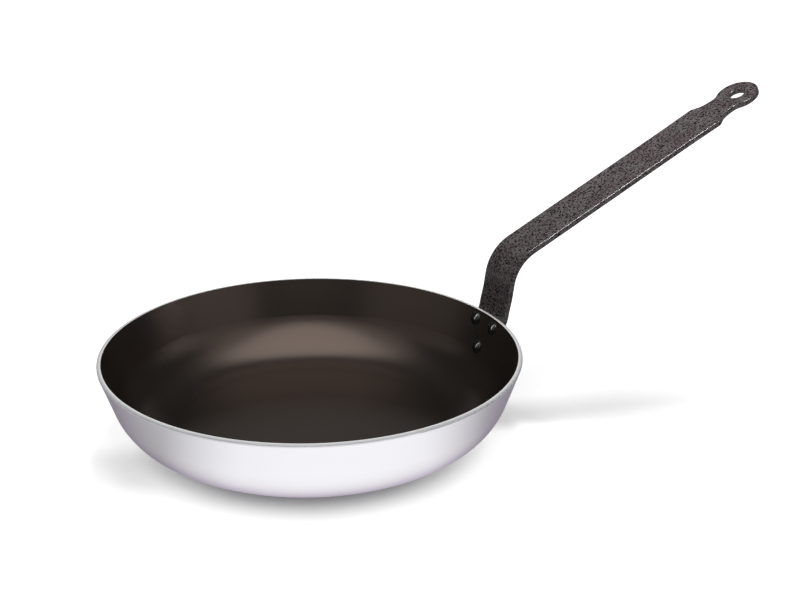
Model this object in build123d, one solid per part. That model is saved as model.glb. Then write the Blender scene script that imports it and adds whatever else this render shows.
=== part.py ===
from build123d import *
import os
from math import asin, cos, degrees, radians, sin, sqrt, tan

# Shallow frying pan: a pressed shell with sloping sides, a dark coat inside and one
# long flat strip handle held by three rivets.
# The origin is the centre of the flat base, on the surface that the pan stands on.
# +X runs along the handle and +Z points up. The pan is symmetric about the XZ plane.

# Shell
rim_diameter = 280.0
pan_height = 54.5
wall_lean = 19.7
sheet_thickness = 3.0
cove_radius = 43.0
lip_round = 1.2
coat_thickness = 0.3

# Handle strip
strip_width = 32.5
strip_thickness = 4.2
strip_edge_round = 0.9
tab_length = 37.0
tab_corner_radius = 9.0
mouth_bend_radius = 20.0
riser_lean = 9.0
riser_length = 21.8
dish_runout = 14.0
arm_bend_radius = 31.5
arm_rise = 24.4
arm_length = 200.6

# Shoulders, neck and hanging eye at the far end of the handle
shoulder_width = 33.8
shoulder_flare = 40.0
shoulder_to_eye = 30.6
shoulder_run = 6.5
shoulder_toe_width = 25.2
shoulder_radius = 4.0
neck_width = 22.8
neck_to_eye = 14.2
neck_side_radius = 36.0
neck_blend_radius = 8.0
eye_diameter = 31.2
eye_hole_diameter = 10.5
eye_hole_round = 1.5

# Rivets
rivet_diameter = 5.0
rivet_hole_clearance = 0.1
rivet_head_diameter = 9.0
rivet_head_height = 2.2
rivet_head_land = 0.5
rivet_edge_margin = 5.25
upper_rivet_drop = 7.5
lower_rivet_drop = 25.0

# How far a cutting or joining solid reaches past the faces that it serves
overrun = 1.0

# How much of the tab's hollow is left at even steps along its run-out above the rim
dish_shares = (0.74, 0.26)

rim_radius = rim_diameter / 2
lean = radians(wall_lean)
wall_foot_height = cove_radius * (1 - sin(lean))
wall_foot_radius = rim_radius - (pan_height - wall_foot_height) * tan(lean)
base_radius = wall_foot_radius - cove_radius * cos(lean)


def shell_line(depth):
    """Half section of the shell at a depth under its outer face, from the axis to the lip."""
    radius = cove_radius - depth
    cove_start = (base_radius, depth)
    foot = (base_radius + radius * cos(lean), cove_radius - radius * sin(lean))
    top = (rim_radius - depth / cos(lean), pan_height)
    floor_line = Line((0, depth), cove_start)
    cove = RadiusArc(cove_start, foot, -radius)
    wall = Line(foot, top)
    return floor_line + cove + wall


def skin_section(outer_depth, inner_depth):
    """Closed half section between two depths under the outer face."""
    outer = shell_line(outer_depth)
    inner = shell_line(inner_depth)
    hub = Line((0, outer_depth), (0, inner_depth))
    lip_outer = (rim_radius - outer_depth / cos(lean), pan_height)
    lip_inner = (rim_radius - inner_depth / cos(lean), pan_height)
    return Plane.XZ * make_face(outer + inner + hub + Line(lip_outer, lip_inner))


def shell_blank():
    """The metal shell before drilling, with its lip rounded on the outside."""
    shell = revolve(skin_section(0, sheet_thickness), Axis.Z)
    lip_edges = shell.edges().group_by(Axis.Z)[-1]
    outer_lip = lip_edges.sort_by(SortBy.RADIUS)[-1]
    return fillet(outer_lip, lip_round)


def coat_blank():
    """The dark coat on the floor and walls, cut flush with the bare lip."""
    return revolve(skin_section(sheet_thickness, sheet_thickness + coat_thickness), Axis.Z)


def outward(lean_degrees):
    """Unit vector square to a strip that leans this far out from the vertical."""
    angle = radians(lean_degrees)
    return Vector(cos(angle), 0, -sin(angle))


def along(lean_degrees):
    """Unit vector up a strip that leans this far out from the vertical."""
    angle = radians(lean_degrees)
    return Vector(sin(angle), 0, cos(angle))


rim_point = Vector(rim_radius, 0, pan_height)
mouth_centre = rim_point - outward(wall_lean) * mouth_bend_radius
riser_start = mouth_centre + outward(riser_lean) * mouth_bend_radius
flat_start = riser_start + along(riser_lean) * dish_runout
riser_end = riser_start + along(riser_lean) * riser_length
arm_lean = 90 - arm_rise
arm_centre = riser_end + outward(riser_lean) * arm_bend_radius
arm_start = arm_centre - outward(arm_lean) * arm_bend_radius
arm_plane = Plane(arm_start, along(arm_lean), -outward(arm_lean))


def wall_plane(drop):
    """Plane on the outer wall below the rim: x across the handle, y up the wall, z out."""
    return Plane(rim_point - along(wall_lean) * drop, (0, 1, 0), outward(wall_lean))


def strip_plane(point, lean_degrees):
    """Plane across the strip: x over its width, y towards the pan."""
    return Plane(point, (0, 1, 0), along(lean_degrees))


def tab():
    """The part of the strip that lies on the wall, hollowed to fit round it."""
    foot = rim_point - along(wall_lean) * (tab_length + overrun)
    head = rim_point + along(wall_lean) * overrun
    depth = outward(wall_lean) * strip_thickness
    section = make_face(Polyline(foot, head, head + depth, foot + depth, close=True))
    half_arc = degrees(asin(strip_width / foot.X))
    ring = Rot(0, 0, -half_arc) * revolve(section, Axis.Z, 2 * half_arc)
    outline = Rectangle(strip_width, tab_length, align=(Align.CENTER, Align.MAX))
    lower_corners = outline.vertices().group_by(Axis.Y)[0]
    outline = fillet(lower_corners, tab_corner_radius)
    reach = strip_width / 2
    return ring & extrude(wall_plane(0) * outline, reach, both=True)


def dished_section(share):
    """Strip section whose inner face keeps a share of the tab's hollow."""
    half = strip_width / 2
    inner_radius = rim_radius / cos(lean)
    inner_sag = share * (inner_radius - sqrt(inner_radius**2 - half**2))
    outer_radius = inner_radius + strip_thickness
    outer_sag = share * (outer_radius - sqrt(outer_radius**2 - half**2))
    inner = ThreePointArc((-half, inner_sag), (0, 0), (half, inner_sag))
    right = Line((half, inner_sag), (half, outer_sag - strip_thickness))
    outer_right = (half, outer_sag - strip_thickness)
    outer_left = (-half, outer_sag - strip_thickness)
    outer = ThreePointArc(outer_right, (0, -strip_thickness), outer_left)
    left = Line(outer_left, (-half, inner_sag))
    return make_face(inner + right + outer + left)


def flat_section():
    """Plain strip section with its inner face on the section plane's x axis."""
    return Rectangle(strip_width, strip_thickness, align=(Align.CENTER, Align.MAX))


def mouth_bend(tab_top):
    """The slight bend at the rim, from the slope of the wall to that of the riser."""
    return revolve(tab_top, Axis(mouth_centre, (0, 1, 0)), riser_lean - wall_lean)


def dish_end(bend_top):
    """The foot of the riser, in which the tab's hollow runs out to the flat strip."""
    sections = [bend_top]
    steps = len(dish_shares) + 1
    for step, share in enumerate(dish_shares, start=1):
        place = riser_start + along(riser_lean) * dish_runout * step / steps
        sections.append(strip_plane(place, riser_lean) * dished_section(share))
    sections.append(strip_plane(flat_start, riser_lean) * flat_section())
    return loft(sections)


def riser():
    """The flat, straight stretch below the bend into the arm."""
    section = strip_plane(flat_start, riser_lean) * flat_section()
    return extrude(section, riser_length - dish_runout)


def arm_bend():
    """The bend from the riser to the arm, about an axis under the strip."""
    section = strip_plane(riser_end, riser_lean) * flat_section()
    return revolve(section, Axis(arm_centre, (0, 1, 0)), arm_lean - riser_lean)


def bar_outline():
    """Plan of the bar, which widens a little towards the sloping shoulders at its end."""
    end = arm_length - shoulder_to_eye
    toe = end + shoulder_run
    flare_start = (end - shoulder_flare, strip_width / 2)
    root = Line((0, 0), (0, strip_width / 2))
    side = Line((0, strip_width / 2), flare_start)
    flare = TangentArc(flare_start, (end, shoulder_width / 2), tangent=(1, 0))
    shoulder = Line((end, shoulder_width / 2), (toe, shoulder_toe_width / 2))
    close = Line((toe, shoulder_toe_width / 2), (toe, 0)) + Line((toe, 0), (0, 0))
    half = make_face(root + side + flare + shoulder + close)
    return half + mirror(half, Plane.XZ)


def neck_outline():
    """Plan of the neck: shallow hollows on both sides between the shoulders and the eye."""
    neck = Rectangle(shoulder_to_eye, eye_diameter, align=(Align.MAX, Align.CENTER))
    offset = neck_width / 2 + neck_side_radius
    for side in (-1, 1):
        neck -= Pos(-neck_to_eye, side * offset) * Circle(neck_side_radius)
    return Pos(arm_length, 0) * neck


def arm_outline():
    """Plan of the arm: the bar, its shoulders, the neck and the round eye."""
    end = arm_length - shoulder_to_eye
    plan = bar_outline() + neck_outline() + Pos(arm_length, 0) * Circle(eye_diameter / 2)
    corners = plan.vertices().filter_by_position(Axis.X, end, arm_length)
    at_eye = corners.sort_by(Axis.X)[-2:]
    plan = fillet(at_eye, neck_blend_radius)
    at_shoulders = plan.vertices().filter_by_position(Axis.X, end, end + shoulder_run)
    return fillet(at_shoulders, shoulder_radius)


def arm():
    """The straight arm with its neck and eye."""
    return extrude(arm_plane * arm_outline(), -strip_thickness)


def eye_drill():
    """Cutter for the hanging hole, whose mouths are well rounded."""
    radius = eye_hole_diameter / 2
    hole = Pos(arm_length, 0) * Circle(radius)
    mouth = Pos(arm_length, 0) * Circle(radius + eye_hole_round + overrun)
    drill = extrude(arm_plane * hole, -strip_thickness)
    drill += extrude(arm_plane * mouth, overrun)
    drill += extrude(arm_plane.offset(-strip_thickness) * mouth, -overrun)
    throat = drill.edges().filter_by(GeomType.CIRCLE).sort_by(SortBy.RADIUS)[:2]
    return fillet(throat, eye_hole_round)


def end_face(piece, point, lean_degrees):
    """The face of a piece that lies furthest up the strip."""
    return piece.faces().sort_by(Axis(point, along(lean_degrees)))[-1]


def handle_blank():
    """The strip with softened edges and its hanging hole, before the rivet holes."""
    tab_piece = tab()
    bend = mouth_bend(end_face(tab_piece, rim_point, wall_lean))
    run_out = dish_end(end_face(bend, riser_start, riser_lean))
    strip = tab_piece + bend + run_out + riser() + arm_bend() + arm()
    return fillet(strip.edges(), strip_edge_round) - eye_drill()


def rivet_places():
    """Drop below the rim and angle about the pan's axis for each rivet."""
    upper_radius = rim_radius - upper_rivet_drop * sin(lean)
    half_spacing = strip_width / 2 - rivet_edge_margin
    upper_turn = degrees(asin(half_spacing / upper_radius))
    return [(upper_rivet_drop, upper_turn), (upper_rivet_drop, -upper_turn), (lower_rivet_drop, 0)]


def at_rivet(drop, turn, piece):
    """Put a piece, made along z from the outer wall, at a rivet's place."""
    return Rot(0, 0, turn) * (wall_plane(drop).location * piece)


def rivet_hole(drop, turn):
    """Drill that clears the coat, the wall and the strip."""
    reach = sheet_thickness + coat_thickness + strip_thickness + overrun
    radius = rivet_diameter / 2 + rivet_hole_clearance
    return at_rivet(drop, turn, Cylinder(radius, 2 * reach))


def rivet_head():
    """Low dome on a short land, on its seat at z = 0, with a root for the seat to trim."""
    radius = rivet_head_diameter / 2
    crown = rivet_head_height - rivet_head_land
    dome_radius = (radius**2 + crown**2) / (2 * crown)
    brow = (radius, rivet_head_land)
    top = (0, rivet_head_height)
    sides = Polyline(top, (0, -overrun), (radius, -overrun), brow)
    return revolve(Plane.XZ * make_face(RadiusArc(brow, top, -dome_radius) + sides), Axis.Z)


def rivet(drop, turn, lining, strip):
    """One rivet: a domed head on the coat, a shank and a head on the strip."""
    lining_depth = sheet_thickness + coat_thickness
    grip = lining_depth + strip_thickness
    inner_head = at_rivet(drop, turn, Pos(0, 0, -lining_depth) * Rot(180, 0, 0) * rivet_head())
    outer_head = at_rivet(drop, turn, Pos(0, 0, strip_thickness) * rivet_head())
    shank = Pos(0, 0, -lining_depth - rivet_head_land) * Cylinder(
        rivet_diameter / 2,
        grip + 2 * rivet_head_land,
        align=(Align.CENTER, Align.CENTER, Align.MIN),
    )
    return (inner_head - lining) + at_rivet(drop, turn, shank) + (outer_head - strip)


def drilled(blank):
    """A blank with the three rivet holes through it."""
    for drop, turn in rivet_places():
        blank -= rivet_hole(drop, turn)
    return blank


def main():
    shell = shell_blank()
    coat = coat_blank()
    strip = handle_blank()
    lining = shell + coat
    rivets = [rivet(drop, turn, lining, strip) for drop, turn in rivet_places()]
    parts = {
        "pan_body": drilled(shell),
        "nonstick_coating": drilled(coat),
        "handle": drilled(strip),
        "rivets": Compound(rivets),
    }
    os.makedirs("parts", exist_ok=True)
    for name, piece in parts.items():
        export_step(piece, f"parts/{name}.step")


main()
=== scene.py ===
from math import cos, radians, sin

import bpy
from mathutils import Matrix, Vector


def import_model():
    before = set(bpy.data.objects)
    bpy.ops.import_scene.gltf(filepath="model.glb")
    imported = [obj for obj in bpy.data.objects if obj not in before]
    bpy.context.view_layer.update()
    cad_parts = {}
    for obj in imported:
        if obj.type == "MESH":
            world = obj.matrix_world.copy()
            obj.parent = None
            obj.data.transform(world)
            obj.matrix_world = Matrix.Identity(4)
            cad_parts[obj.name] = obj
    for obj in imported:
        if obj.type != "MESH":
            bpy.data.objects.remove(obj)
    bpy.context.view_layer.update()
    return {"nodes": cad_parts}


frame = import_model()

nodes = frame["nodes"]
scene = bpy.context.scene

# The photograph's direction of view: away from the camera, and to its right
VIEW_AZIMUTH = radians(25.7)
AWAY = Vector((sin(VIEW_AZIMUTH), cos(VIEW_AZIMUTH), 0))
RIGHTWARD = Vector((cos(VIEW_AZIMUTH), -sin(VIEW_AZIMUTH), 0))

WHITE = (1, 1, 1, 1)


# Node helpers

def put(tree, socket, value):
    """Link a socket to another node's, or set its value."""
    if isinstance(value, bpy.types.NodeSocket):
        tree.links.new(value, socket)
    else:
        socket.default_value = value


def add(tree, kind, inputs=None, **settings):
    """A node with its settings and inputs: an input is a value or another node's socket."""
    node = tree.nodes.new(kind)
    for key, value in settings.items():
        setattr(node, key, value)
    for key, value in (inputs or {}).items():
        put(tree, node.inputs[key], value)
    return node


def empty_tree(owner, output):
    """The emptied node tree of a material or a world, and its new output's surface socket."""
    owner.use_nodes = True
    tree = owner.node_tree
    tree.nodes.clear()
    return tree, tree.nodes.new(output).inputs["Surface"]


def math(tree, operation, a, b=0.0, clamp=False):
    return add(tree, "ShaderNodeMath", {0: a, 1: b}, operation=operation, use_clamp=clamp).outputs[0]


def times(tree, product, *factors):
    for factor in factors:
        product = math(tree, "MULTIPLY", product, factor)
    return product


def weigh(tree, a, a_share, b, b_share):
    """The sum of two values, each times its share."""
    return math(tree, "ADD", times(tree, a, a_share), times(tree, b, b_share))


def ramp(tree, value, low, high, to_low=0.0, to_high=1.0):
    """A smooth step of a value from low..high to to_low..to_high."""
    node = add(
        tree, "ShaderNodeMapRange",
        {0: value, 1: low, 2: high, 3: to_low, 4: to_high},
        interpolation_type="SMOOTHSTEP",
    )
    return node.outputs[0]


def blend(tree, fac, a, b):
    """A mix of two colours, each a tuple or a socket."""
    node = add(tree, "ShaderNodeMix", data_type="RGBA")
    put(tree, node.inputs["Factor"], fac)
    put(tree, node.inputs["A"], a if isinstance(a, bpy.types.NodeSocket) else (*a, 1))
    put(tree, node.inputs["B"], b if isinstance(b, bpy.types.NodeSocket) else (*b, 1))
    return node.outputs["Result"]


def blend_value(tree, fac, a, b):
    return add(tree, "ShaderNodeMix", {"Factor": fac, "A": a, "B": b}).outputs["Result"]


def noise(tree, vector, scale, detail=2.0, rough=0.5):
    inputs = {"Vector": vector, "Scale": scale, "Detail": detail, "Roughness": rough}
    return add(tree, "ShaderNodeTexNoise", inputs).outputs["Fac"]


def bump(tree, height, strength, distance):
    inputs = {"Height": height, "Strength": strength, "Distance": distance}
    return add(tree, "ShaderNodeBump", inputs).outputs["Normal"]


def place_of(tree):
    """Object coordinates, as one vector and as X, Y and Z."""
    where = tree.nodes.new("ShaderNodeTexCoord").outputs["Object"]
    return where, add(tree, "ShaderNodeSeparateXYZ", {0: where}).outputs


def radius_of(tree, place):
    """The distance of a place from the pan's axis."""
    squares = weigh(tree, place["X"], place["X"], place["Y"], place["Y"])
    return math(tree, "SQRT", squares)


def ring_vector(tree, place, radius, stretch=2.0):
    """Coordinates that only change across the turning marks, so noise on them makes rings."""
    inputs = {"X": times(tree, radius, stretch), "Y": times(tree, place["Z"], stretch)}
    return add(tree, "ShaderNodeCombineXYZ", inputs).outputs[0]


def seen_rays(tree):
    """One for the rays that show the background, and the Light Path outputs."""
    path = tree.nodes.new("ShaderNodeLightPath").outputs
    return math(tree, "MAXIMUM", path["Is Camera Ray"], path["Is Transmission Ray"]), path


# Materials

# Heights over which the shell's bare lip begins, in colour and in roughness, and the radii
# # between the lip's inner half, painted white as a highlight line, and its greyer outer half
LIP_COLOUR_HEIGHTS = 0.0534, 0.0541
LIP_ROUGH_HEIGHTS = 0.0522, 0.0530
LIP_HIGHLIGHT_HALVES = 0.1374, 0.1382

# Painted shade on the handle: the heights over which it fades from the pan up, and its share near
# the pan
HANDLE_SHADE_HEIGHTS = 0.07, 0.15
HANDLE_SHADE_SHARE = 0.35

# The wall's slope, and how far out across it the rivets change from coated to bare
WALL_LEAN = radians(19.7)
RIVET_BARE_DEPTHS = 0.1138, 0.1142


def material(name):
    """A new material, its node tree and its Principled shader."""
    mat = bpy.data.materials.new(name)
    tree, surface = empty_tree(mat, "ShaderNodeOutputMaterial")
    shader = tree.nodes.new("ShaderNodeBsdfPrincipled")
    put(tree, surface, shader.outputs["BSDF"])
    return mat, tree, shader


def aluminium_shell():
    """Satin aluminium with fine turning marks, and a pale lip whose inner half is a painted white
    highlight line and whose outer half is greyer.
    """
    mat, tree, shader = material("spun_aluminium")
    where, place = place_of(tree)
    radius = radius_of(tree, place)
    rings = ring_vector(tree, place, radius)
    fine = noise(tree, rings, 1500.0, 3.0, 0.6)
    broad = noise(tree, rings, 180.0, 2.0, 0.5)
    cloud = noise(tree, where, 18.0, 3.0, 0.5)
    tone = weigh(tree, fine, 0.55, broad, 0.45)
    lip = ramp(tree, place["Z"], *LIP_COLOUR_HEIGHTS)
    outer = ramp(tree, radius, *LIP_HIGHLIGHT_HALVES)
    wall_colour = blend(tree, tone, (0.962, 0.956, 1.0), (0.99, 0.988, 1.0))
    # Painted highlight: the lip's inner half is white as its bright line, the outer half greyer bare
    # metal; the lip is only partly metallic
    lip_colour_and_highlight = blend(tree, outer, (1.0, 1.0, 1.0), (0.76, 0.77, 0.78))
    wall_rough = math(tree, "ADD", times(tree, cloud, 0.10), 0.31)
    rough = blend_value(tree, ramp(tree, place["Z"], *LIP_ROUGH_HEIGHTS), wall_rough, 0.62)
    put(tree, shader.inputs["Base Color"], blend(tree, lip, wall_colour, lip_colour_and_highlight))
    put(tree, shader.inputs["Metallic"], blend_value(tree, lip, 1.0, 0.3))
    put(tree, shader.inputs["Roughness"], rough)
    put(tree, shader.inputs["Normal"], bump(tree, fine, 0.25, 0.0002))
    shader.inputs["Specular Tint"].default_value = (0.38, 0.31, 0.42, 1)
    return mat


def coat():
    """Dark non-stick coat: semi-matt, with a fine grain and faint turning marks under it."""
    mat, tree, shader = material("nonstick_coat")
    where, place = place_of(tree)
    rings = ring_vector(tree, place, radius_of(tree, place))
    grain = noise(tree, where, 900.0, 3.0, 0.6)
    marks = noise(tree, rings, 260.0, 2.0, 0.5)
    tone = weigh(tree, grain, 0.5, marks, 0.5)
    colour = blend(tree, tone, (0.0035, 0.0035, 0.0030), (0.0060, 0.0060, 0.0052))
    put(tree, shader.inputs["Base Color"], colour)
    put(tree, shader.inputs["Normal"], bump(tree, grain, 0.25, 0.00006))
    shader.inputs["Roughness"].default_value = 0.29
    shader.inputs["IOR"].default_value = 2.2
    shader.inputs["Specular Tint"].default_value = (1.0, 0.77, 0.66, 1)
    return mat


def hammered():
    """Black hammered epoxy: pebbled dimples over a coarser unevenness, under a clear coat, with
    painted shade low down by the pan.
    """
    mat, tree, shader = material("hammered_black")
    where, place = place_of(tree)
    warp = noise(tree, where, 640.0, 2.0, 0.55)
    patch = noise(tree, where, 90.0, 2.0, 0.5)
    inputs = {"Vector": where, "Scale": 700.0, "Smoothness": 0.5}
    cells = add(tree, "ShaderNodeTexVoronoi", inputs, feature="SMOOTH_F1")
    height = weigh(tree, cells.outputs["Distance"], 0.5, warp, 0.7)
    pits = ramp(tree, height, 0.43, 0.66)
    dark = blend(tree, pits, (0.003, 0.003, 0.003), (0.200, 0.174, 0.178))
    light = blend(tree, pits, (0.010, 0.008, 0.009), (0.170, 0.138, 0.144))
    paint = blend(tree, ramp(tree, patch, 0.42, 0.62), dark, light)
    # Painted shade: the handle's colour darkens towards near black low down, by the pan
    low = ramp(tree, place["Z"], *HANDLE_SHADE_HEIGHTS, HANDLE_SHADE_SHARE, 0.0)
    put(tree, shader.inputs["Base Color"], blend(tree, low, paint, (0.004, 0.003, 0.003)))
    put(tree, shader.inputs["Normal"], bump(tree, height, 0.9, 0.0009))
    shader.inputs["Roughness"].default_value = 0.45
    shader.inputs["Specular IOR Level"].default_value = 0.0
    shader.inputs["Coat Weight"].default_value = 0.45
    shader.inputs["Coat Roughness"].default_value = 0.24
    shader.inputs["Coat IOR"].default_value = 1.5
    return mat


def rivets_finish():
    """Rivets: the inner heads carry the pan's coat, the outer ones are bare aluminium."""
    mat, tree, shader = material("rivet_metal")
    where, place = place_of(tree)
    grain = noise(tree, where, 1400.0, 2.0, 0.5)
    out = times(tree, radius_of(tree, place), cos(WALL_LEAN))
    up = times(tree, place["Z"], sin(WALL_LEAN))
    bare = ramp(tree, math(tree, "SUBTRACT", out, up), *RIVET_BARE_DEPTHS)
    coated_colour = blend(tree, grain, (0.004, 0.004, 0.0035), (0.007, 0.0065, 0.006))
    bare_colour = blend(tree, grain, (0.66, 0.66, 0.68), (0.78, 0.78, 0.80))
    put(tree, shader.inputs["Base Color"], blend(tree, bare, coated_colour, bare_colour))
    put(tree, shader.inputs["Metallic"], bare)
    put(tree, shader.inputs["Normal"], bump(tree, grain, 0.2, 0.0001))
    shader.inputs["Roughness"].default_value = 0.15
    shader.inputs["IOR"].default_value = 1.85
    return mat


def dress(node, mat):
    """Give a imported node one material."""
    mesh = nodes[node].data
    mesh.materials.clear()
    mesh.materials.append(mat)


dress("pan_body", aluminium_shell())
dress("nonstick_coating", coat())
dress("handle", hammered())
dress("rivets", rivets_finish())


# Floor and world

FLOOR_HALF_SIZE = 6.0
FLOOR_DROP = 0.0002
FLOOR_GREY = 0.95, 0.95, 0.95, 1
WORLD_LIGHT = 0.05

# Radii over which the lit floor gives way to plain white
OPEN_FLOOR_RADII = 0.19, 0.38

# How strongly the floor glows where it is mirrored, painted light that only mirrors see: most in
# front and behind, least to the sides, less at the foot
SMALLEST_RADIUS = 0.001
POOL_TURN = radians(8.0)
POOL_GAIN = 1.14
POOL_BASE = 0.03
POOL_LEAST = 0.53
POOL_AT_FOOT = 0.98
POOL_FOOT_RADII = 0.098, 0.135

# White that the camera sees on top of the floor's shadow, which paints the shadow's depth and spread
# # by place: little by the pan's foot and more further out, over radii that are shorter to the sides
# and to the back
LIFT_RADII = 0.102, 0.142
LIFT_AT_FOOT = 0.16
LIFT_OUTSIDE = 0.72
LIFT_SIDEWAYS = 0.06
LIFT_BEHIND = 0.15
LIFT_BEHIND_FROM = 0.10

# The share of that white withheld in the handle's shadow, which paints that shadow darker, and where
# it lies
HANDLE_SHADOW = 0.50
HANDLE_SHADOW_FRONT = -0.02, 0.005
HANDLE_SHADOW_SIDE = 0.04, 0.12

# The share withheld on the left, which paints a shadow there, where it lies, and how it thins
# outward
LEFT_SHADOW = 0.38
LEFT_SHADOW_FRONT = -0.11, -0.07
LEFT_SHADOW_BACK = -0.05, -0.01
LEFT_SHADOW_SIDE = -0.12, -0.06
LEFT_SHADOW_RADII = 0.130, 0.160
LEFT_SHADOW_OUTSIDE = 0.4


def along(tree, place, direction):
    """How far a place lies along a level direction."""
    return weigh(tree, place["X"], direction[0], place["Y"], direction[1])


def mirrored_glow_pool(tree, place, radius):
    """The strength of the floor's glow where it is mirrored: painted light, strongest in front and
    behind.
    """
    turned = POOL_TURN - VIEW_AZIMUTH
    across = along(tree, place, (sin(turned), -cos(turned)))
    facing = math(tree, "DIVIDE", across, math(tree, "MAXIMUM", radius, SMALLEST_RADIUS))
    gained = times(tree, math(tree, "ABSOLUTE", facing), POOL_GAIN)
    wide = math(tree, "ADD", gained, POOL_BASE, clamp=True)
    foot = ramp(tree, radius, *POOL_FOOT_RADII, POOL_AT_FOOT, 1.0)
    return times(tree, math(tree, "MAXIMUM", wide, POOL_LEAST), foot)


def painted_shadow_lift(tree, seen, place, radius):
    """The strength of the white that lightens the pan's shadow, less in two places: it paints the
    shadow's shape by place.
    """
    back = along(tree, place, AWAY)
    right = along(tree, place, RIGHTWARD)
    behind = math(tree, "MAXIMUM", math(tree, "ADD", back, LIFT_BEHIND_FROM), 0.0)
    wider = weigh(tree, math(tree, "ABSOLUTE", right), LIFT_SIDEWAYS, behind, LIFT_BEHIND)
    reach = math(tree, "ADD", radius, wider)
    near = ramp(tree, reach, *LIFT_RADII, LIFT_AT_FOOT, LIFT_OUTSIDE)
    handle = times(
        tree,
        ramp(tree, back, *HANDLE_SHADOW_FRONT),
        ramp(tree, right, *HANDLE_SHADOW_SIDE, 0.0, HANDLE_SHADOW),
    )
    left = times(
        tree,
        ramp(tree, back, *LEFT_SHADOW_FRONT),
        ramp(tree, back, *LEFT_SHADOW_BACK, 1.0, 0.0),
        ramp(tree, right, *LEFT_SHADOW_SIDE, LEFT_SHADOW, 0.0),
        ramp(tree, radius, *LEFT_SHADOW_RADII, 1.0, LEFT_SHADOW_OUTSIDE),
    )
    kept = math(tree, "SUBTRACT", math(tree, "SUBTRACT", 1.0, handle), left)
    return times(tree, seen, near, kept)


def glow(tree, strength):
    return add(tree, "ShaderNodeEmission", {"Color": WHITE, "Strength": strength}).outputs[0]


def floor_white(tree, surface):
    """White for the rays that show the background, which gives way to the lit and shadowed floor
    close to the pan, with a glow on top that paints the shadow's depth; and for mirrored rays a glow
    of painted light."""
    place = place_of(tree)[1]
    radius = radius_of(tree, place)
    seen, path = seen_rays(tree)
    bounced = math(tree, "MINIMUM", path["Diffuse Depth"], 1.0)
    glossy = times(tree, path["Is Glossy Ray"], math(tree, "SUBTRACT", 1.0, bounced))
    open_floor = ramp(tree, radius, *OPEN_FLOOR_RADII)
    share = math(tree, "ADD", times(tree, seen, open_floor), glossy, clamp=True)
    mirrored = times(tree, glossy, mirrored_glow_pool(tree, place, radius))
    white = glow(tree, math(tree, "ADD", seen, mirrored, clamp=True))
    mixed = add(tree, "ShaderNodeMixShader", {0: share, 1: surface, 2: white}).outputs[0]
    lifted = glow(tree, painted_shadow_lift(tree, seen, place, radius))
    return add(tree, "ShaderNodeAddShader", {0: mixed, 1: lifted}).outputs[0]


def floor():
    """A wide level plane, just under the pan."""
    reach = FLOOR_HALF_SIZE
    corners = [(-reach, -reach, 0), (reach, -reach, 0), (reach, reach, 0), (-reach, reach, 0)]
    mesh = bpy.data.meshes.new("floor")
    mesh.from_pydata(corners, [], [(0, 1, 2, 3)])
    piece = bpy.data.objects.new("floor", mesh)
    piece.location.z = -FLOOR_DROP
    scene.collection.objects.link(piece)
    mat = bpy.data.materials.new("floor_white")
    tree, surface = empty_tree(mat, "ShaderNodeOutputMaterial")
    plain = add(tree, "ShaderNodeBsdfDiffuse", {"Color": FLOOR_GREY}).outputs[0]
    put(tree, surface, floor_white(tree, plain))
    mesh.materials.append(mat)


def world():
    """A dim light from all sides, which the camera sees as white."""
    sky = bpy.data.worlds.new("studio")
    scene.world = sky
    tree, surface = empty_tree(sky, "ShaderNodeOutputWorld")
    light = add(tree, "ShaderNodeBackground", {"Color": WHITE, "Strength": WORLD_LIGHT})
    white = add(tree, "ShaderNodeBackground", {"Color": WHITE, "Strength": 1.0})
    inputs = {0: seen_rays(tree)[0], 1: light.outputs[0], 2: white.outputs[0]}
    put(tree, surface, add(tree, "ShaderNodeMixShader", inputs).outputs[0])


floor()
world()


# Lamps. A lamp's place is how far it is to the right, away from the camera and up.

PAN_CENTRE = Vector((0, 0, 0.03))
RIVETS = Vector((0.135, 0, 0.045))
ARM_START = Vector((0.24, 0, 0.13))


def lamp(name, place, size, watts, shape="RECTANGLE", aim=PAN_CENTRE):
    """A soft lamp that faces a point."""
    data = bpy.data.lights.new(name, "AREA")
    data.shape = shape
    data.size, data.size_y = size
    data.energy = watts
    right, back, height = place
    spot = RIGHTWARD * right + AWAY * back + Vector((0, 0, height))
    piece = bpy.data.objects.new(name, data)
    piece.location = spot
    piece.rotation_euler = (aim - spot).to_track_quat("-Z", "Y").to_euler()
    scene.collection.objects.link(piece)
    return piece


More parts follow.
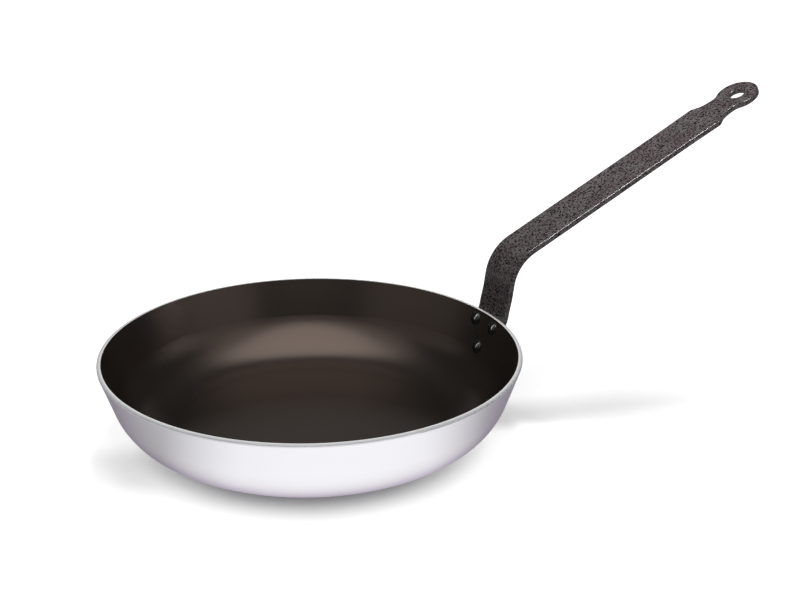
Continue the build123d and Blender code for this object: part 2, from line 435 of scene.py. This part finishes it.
def softbox(name, place, size, watts):
    """A level oval softbox over the pan, square to the view."""
    lamp(name, place, size, watts, "ELLIPSE").rotation_euler = (0, 0, -VIEW_AZIMUTH)


def highlight(name, place, size, watts, aim, names):
    """A lamp that draws highlights, kept to the pieces named."""
    piece = lamp(name, place, size, watts, aim=aim)
    group = bpy.data.collections.new(name + "_pieces")
    for node in names:
        group.objects.link(nodes[node])
    piece.light_linking.receiver_collection = group
    piece.visible_diffuse = False
    piece.visible_camera = False


softbox("overhead", (0.02, -0.20, 0.62), (0.60, 1.12), 1.42)
softbox("halo", (0.02, -0.42, 0.64), (1.36, 1.46), 1.92)
fill = lamp("behind", (0.12, 1.10, 1.85), (0.38, 0.38), 17.0)
fill.visible_glossy = False
lamp("right", (1.42, -0.50, 0.60), (2.4, 1.1), 1.75, "ELLIPSE")
lamp("left", (-1.42, -0.50, 0.60), (2.4, 1.1), 1.15, "ELLIPSE")
lamp("back", (0.0, 1.60, 0.66), (1.6, 0.36), 0.45)
highlight("key", (-1.10, -0.02, 0.72), (0.08, 1.40), 4.5, RIVETS, ["rivets"])
highlight("edge", (0.49, -0.38, 1.08), (0.56, 0.10), 50.0, ARM_START, ["rivets", "handle"])


# Camera

CAMERA_PLACE = Vector((-0.4479, -0.9305, 0.4933))
RIM_CENTRE = Vector((0, 0, 0.0545))
TURN_RIGHT = radians(3.27)
TILT_UP = radians(1.71)
LENS = 76.5
SENSOR_WIDTH = 36.0
CLIP_START = 0.01


def camera():
    """The fitted view: aimed at the rim's centre, then turned a little right and up."""
    data = bpy.data.cameras.new("camera")
    data.sensor_width = SENSOR_WIDTH
    data.lens = LENS
    data.clip_start = CLIP_START
    piece = bpy.data.objects.new("camera", data)
    aim = (RIM_CENTRE - CAMERA_PLACE).to_track_quat("-Z", "Y").to_matrix()
    turned = Matrix.Rotation(-TURN_RIGHT, 3, "Z") @ aim
    pitched = turned @ Matrix.Rotation(TILT_UP, 3, "X")
    piece.matrix_world = Matrix.Translation(CAMERA_PLACE) @ pitched.to_4x4()
    scene.collection.objects.link(piece)
    scene.camera = piece


camera()
scene.view_settings.view_transform = "Standard"
